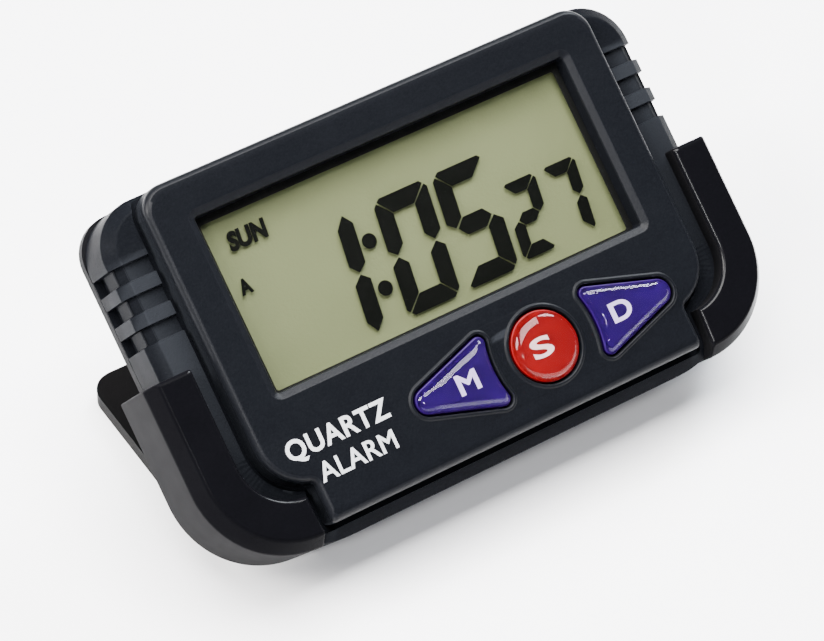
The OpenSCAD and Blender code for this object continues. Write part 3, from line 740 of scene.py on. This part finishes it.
def key(kind, base_material, dome_material, letter):
    """A key: an opaque base, a clear dome and a letter between them."""
    body = kind + "_key"
    centre_x = {"set": 0.0, "display": SIDE_LEGEND_X, "mode": -SIDE_LEGEND_X}[kind] + SET_X
    centre = Vector((centre_x, KEY_Y))

    def shrunk(growth, share):
        return [tuple(centre + (Vector(p) - centre) * share)
                for p in key_outline(kind, growth)]

    base = Shape()
    base.solid([(shrunk(growth, 1), z) for growth, z in KEY_BASE])
    make_piece(body + "_base", base, base_material, body=body, replaces=(body,))

    # The dome is flat in the middle and steep at its rim.
    dome = Shape()
    rim_lean = DOME_RIM_LEAN
    levels = [(shrunk(DOME_GROWTH, 1), DOME_BACK_Z)]
    for i in range(DOME_STEPS):
        lean = rim_lean + (math.pi / 2 - rim_lean) * i / DOME_STEPS
        share = (math.cos(lean) / math.cos(rim_lean)) ** DOME_POWER
        lift = (math.sin(lean) - math.sin(rim_lean)) / (1 - math.sin(rim_lean))
        levels.append((shrunk(DOME_GROWTH, share),
                       DOME_RIM_Z + (KEY_RISE - DOME_RIM_Z) * lift))
    back, top = dome.loft(levels)
    dome.cap(back)
    dome.point_cap(top, (centre.x, centre.y, KEY_RISE))
    make_piece(body + "_dome", dome, dome_material, body=body, smooth=DOME_SHARP_ABOVE)

    text_piece(body + "_legend", letter, centre.x + LEGEND_SHIFTS[kind], KEY_Y,
               *LEGEND_SIZE, LEGEND_Z, "key_print", bold=0.025, body=body)


# ---- display -----------------------------------------------------------------------

LEAN = math.tan(math.radians(8))
BIG_DIGIT = {"width": 7.3, "height": 14.1, "thick": 2.15}
SMALL_DIGIT = {"width": 4.7, "height": 9.15, "thick": 1.5}
COLON_PLACES = ((-6.05, 7.1), (-6.75, 1.35))
COLON_R = 0.92

# Segments that are dark in each digit, in the usual order a to g. A digit one has both
# its segments pointed at both ends, as h and i.
DIGITS = {"0": "abcdef", "1": "hi", "2": "abged", "5": "afgcd", "7": "abc"}


def flip_x(points):
    """The same outline on the other side, left for right."""
    return [(-x, y) for x, y in reversed(points)]


def flip_y(points):
    """The same outline upside down."""
    return [(x, -y) for x, y in reversed(points)]


def segment_outlines(width, height, thick):
    """The segments of an upright digit centred on 0, 0, mitred where they meet."""
    w, h, t, gap = width / 2, height / 2, thick, thick * 0.035
    m = t / 2
    # The shares of t below are where a segment's corners are cut off.
    across = [(-w + 0.58 * t + gap, 0), (-w + 1.08 * t, m), (w - 1.08 * t, m),
              (w - 0.58 * t - gap, 0), (w - 1.08 * t, -m), (-w + 1.08 * t, -m)]
    top = [(-w + 0.2 * t + gap, h - 0.2 * t + gap), (-w + 0.42 * t, h), (w - 0.42 * t, h),
           (w - 0.2 * t - gap, h - 0.2 * t + gap), (w - t - gap, h - t), (-w + t + gap, h - t)]
    foot = [(w - t, m + gap), (w - 0.5 * t, 1.8 * gap), (w, 0.45 * t)]
    upper = [(w, h - 0.42 * t), (w - 0.2 * t + gap, h - 0.2 * t - gap),
             (w - t, h - t - 1.5 * gap), *foot]
    pointed = [(w, h - 0.62 * t), (w - 0.5 * t, h - 0.05 * t), (w - t, h - 0.72 * t), *foot]
    return {"a": top, "b": upper, "c": flip_y(upper), "d": flip_y(top),
            "e": flip_x(flip_y(upper)), "f": flip_x(upper), "g": across,
            "h": pointed, "i": flip_y(pointed)}


def segments(name, digit, x, y, width, height, thick):
    """A leaning seven-segment digit centred on x, y."""
    shape = Shape()
    outlines = segment_outlines(width, height, thick)
    for segment in DIGITS[digit]:
        loop = [(x + px + py * LEAN, y + py) for px, py in outlines[segment]]
        shape.solid([(loop, DISPLAY_Z - INK_T), (loop, DISPLAY_Z)])
    make_piece(name, shape, "display_ink")


def window():
    """The clear lens and the dark border printed behind it."""
    lens = Shape()
    lens_loop = rect_loop(0, WINDOW_Y, WINDOW_W - LENS_MARGIN, WINDOW_H - LENS_MARGIN, 0.4)
    lens.solid([(lens_loop, LENS_Z - LENS_T), (lens_loop, LENS_Z)])
    make_piece("lens", lens, "clear_window", replaces=("window_lens",))

    border = Shape()
    outer = rect_loop(0, WINDOW_Y, WINDOW_W - BORDER_MARGIN, WINDOW_H - BORDER_MARGIN, 0.4)
    inner = rect_loop(0, VIEW_Y, VIEW_W, VIEW_H, 0.35)
    back_z = BORDER_Z - BORDER_T
    rings = [border.ring(outer, BORDER_Z), border.ring(inner, BORDER_Z),
             border.ring(inner, back_z), border.ring(outer, back_z)]
    border.cap(rings[0], rings[1])
    border.cap(rings[3], rings[2])
    border.bridge(rings[0], rings[3])
    border.bridge(rings[1], rings[2])
    make_piece("display_border", border, "border_print")


def display():
    """The film behind the cell and everything that the cell shows."""
    back = Shape()
    back_loop = rect_loop(0, VIEW_Y, VIEW_W + 2.4, VIEW_H + 1.6, 0.3)
    back.solid([(back_loop, REFLECTOR_Z), (back_loop, REFLECTOR_Z - REFLECTOR_T)])
    make_piece("display_back", back, "reflector",
               replaces=("display_reflector", "display_glass"))

    segments("digit_hour", "1", -11.4, 4.1, **BIG_DIGIT)
    segments("digit_ten_minutes", "0", -1.0, 4.1, **BIG_DIGIT)
    segments("digit_minutes", "5", 7.15, 4.1, **BIG_DIGIT)
    segments("digit_ten_seconds", "2", 13.75, 2.0, **SMALL_DIGIT)
    segments("digit_seconds", "7", 19.4, 1.9, **SMALL_DIGIT)
    colon = Shape()
    for x, y in COLON_PLACES:
        dot = circle_loop(x, y, COLON_R, 32)
        colon.solid([(dot, DISPLAY_Z - INK_T), (dot, DISPLAY_Z)])
    make_piece("display_colon", colon, "display_ink")
    text_piece("display_weekday", "SUN", -19.4, 13.5, 5.2, 2.4, DISPLAY_Z - INK_T,
               "display_ink", bold=0.05, lean=0.12)
    text_piece("display_morning", "A", -22.3, 8.2, 1.6, 1.9, DISPLAY_Z - INK_T,
               "display_ink", bold=0.055)


def panel_print():
    """The two generic words on the panel."""
    text_piece("front_print_upper", "QUARTZ", -20.8, -11.4, 13.6, 2.9, 0.0, "white_print",
               bold=0.025, spacing=1.08)
    text_piece("front_print_lower", "ALARM", -19.9, -14.8, 10.2, 2.3, 0.0, "white_print",
               bold=0.015, spacing=1.04)


# ---- CAD nodes ---------------------------------------------------------------------

def dress_cad_nodes():
    """Gives every CAD node the material of its slot, and rounds the edges of some."""
    slots = {row["node"]: row["material_slot"] for row in frame["record"]["subparts"]}
    for name, node in NODES.items():
        slot = slots[name]
        material = MATERIALS[SLOT_MATERIALS.get(slot, slot)]
        node.data.materials.clear()
        node.data.materials.append(material)
    for name, width in EDGE_ROUNDINGS.items():
        rounding = NODES[name].modifiers.new("rounded", "BEVEL")
        rounding.width = width * MM
        rounding.segments = 2
        rounding.limit_method = "ANGLE"
        rounding.angle_limit = ROUNDED_ABOVE
        weighted = NODES[name].modifiers.new("weighted", "WEIGHTED_NORMAL")
        weighted.keep_sharp = True


# ---- camera, light and floor, in metres ---------------------------------------------

CAMERA_AZIMUTH = math.radians(-34.24)
CAMERA_ELEVATION = math.radians(47.28)
CAMERA_ROLL = math.radians(1.74)
CAMERA_DISTANCE = 0.4261
CAMERA_LENS = 158.9
SENSOR_WIDTH = 36.0
# What the camera aims at, counted from the middle of the hinge axis
AIM_OFFSET = (-0.00385, 0.01146, 0.0144)

# Area lights: name, place, size, power and colour
LIGHTS = (
    ("overhead_light", (0.0, 0.06, 0.85), (0.8, 0.6), 44.0, (1.0, 0.99, 0.98)),
    ("left_light", (-0.65, 0.2, 0.5), (0.35, 0.45), 22.0, (1.0, 0.97, 0.94)),
    ("right_light", (0.6, 0.3, 0.55), (0.3, 0.4), 14.0, (0.9, 0.95, 1.0)),
    ("glint_light", (-0.50, -0.35, 0.52), (0.14, 0.05), 4.5, (1.0, 1.0, 1.0)),
)
LIGHT_TARGET = Vector((0, 0, 0.015))
SKY_LOW = (0.07, 0.074, 0.085)
SKY_HIGH = (0.30, 0.315, 0.345)
FLOOR_HALF = 3.0


def add_camera():
    camera = bpy.data.objects.new("camera", bpy.data.cameras.new("camera"))
    bpy.context.scene.collection.objects.link(camera)
    aim = Vector(JOINTS["case_tilt"]["pos_m"]) + Vector(AIM_OFFSET)
    back = Vector((math.sin(CAMERA_AZIMUTH) * math.cos(CAMERA_ELEVATION),
                   -math.cos(CAMERA_AZIMUTH) * math.cos(CAMERA_ELEVATION),
                   math.sin(CAMERA_ELEVATION)))
    camera.location = aim + back * CAMERA_DISTANCE
    camera.rotation_mode = "QUATERNION"
    turn = (-back).to_track_quat("-Z", "Y")
    camera.rotation_quaternion = turn @ Matrix.Rotation(CAMERA_ROLL, 3, "Z").to_quaternion()
    camera.data.lens = CAMERA_LENS
    camera.data.sensor_width = SENSOR_WIDTH
    camera.data.clip_start = 0.01
    bpy.context.scene.camera = camera


def add_lights():
    for name, place, size, power, color in LIGHTS:
        light = bpy.data.objects.new(name, bpy.data.lights.new(name, "AREA"))
        bpy.context.scene.collection.objects.link(light)
        light.data.shape = "RECTANGLE"
        light.data.size, light.data.size_y = size
        light.data.energy = power
        light.data.color = color
        light.location = place
        light.rotation_mode = "QUATERNION"
        toward = LIGHT_TARGET - Vector(place)
        light.rotation_quaternion = toward.to_track_quat("-Z", "Y")


def add_world():
    """A sky that brightens from the horizon up."""
    world = bpy.data.worlds.new("studio")
    world.use_nodes = True
    tree = world.node_tree
    coordinates = tree.nodes.new("ShaderNodeTexCoord")
    split = tree.nodes.new("ShaderNodeSeparateXYZ")
    tree.links.new(coordinates.outputs["Generated"], split.inputs["Vector"])
    sky = mix_colors(tree, SKY_LOW, SKY_HIGH, split.outputs["Z"])
    tree.links.new(sky, tree.nodes["Background"].inputs["Color"])
    bpy.context.scene.world = world


def add_floor():
    mesh = bpy.data.meshes.new("floor")
    half = FLOOR_HALF
    mesh.from_pydata([(-half, -half, 0), (half, -half, 0), (half, half, 0), (-half, half, 0)],
                     [], [(0, 1, 2, 3)])
    floor = bpy.data.objects.new("floor", mesh)
    bpy.context.scene.collection.objects.link(floor)
    mesh.materials.append(surface("floor", (0.92, 0.92, 0.94), (0.94, 0.94, 0.96), 0.6,
                                  blotch_scale=6.0))


# ---- everything --------------------------------------------------------------------

dress_cad_nodes()
add_camera()
add_lights()
add_world()
add_floor()
case_shell()
case_panel()
guard("right_guard", mirror=False)
guard("left_guard", mirror=True)
key("set", "red_base", "red_dome", "S")
key("display", "blue_base", "blue_dome", "D")
key("mode", "blue_base", "blue_dome", "M")
window()
display()
panel_print()
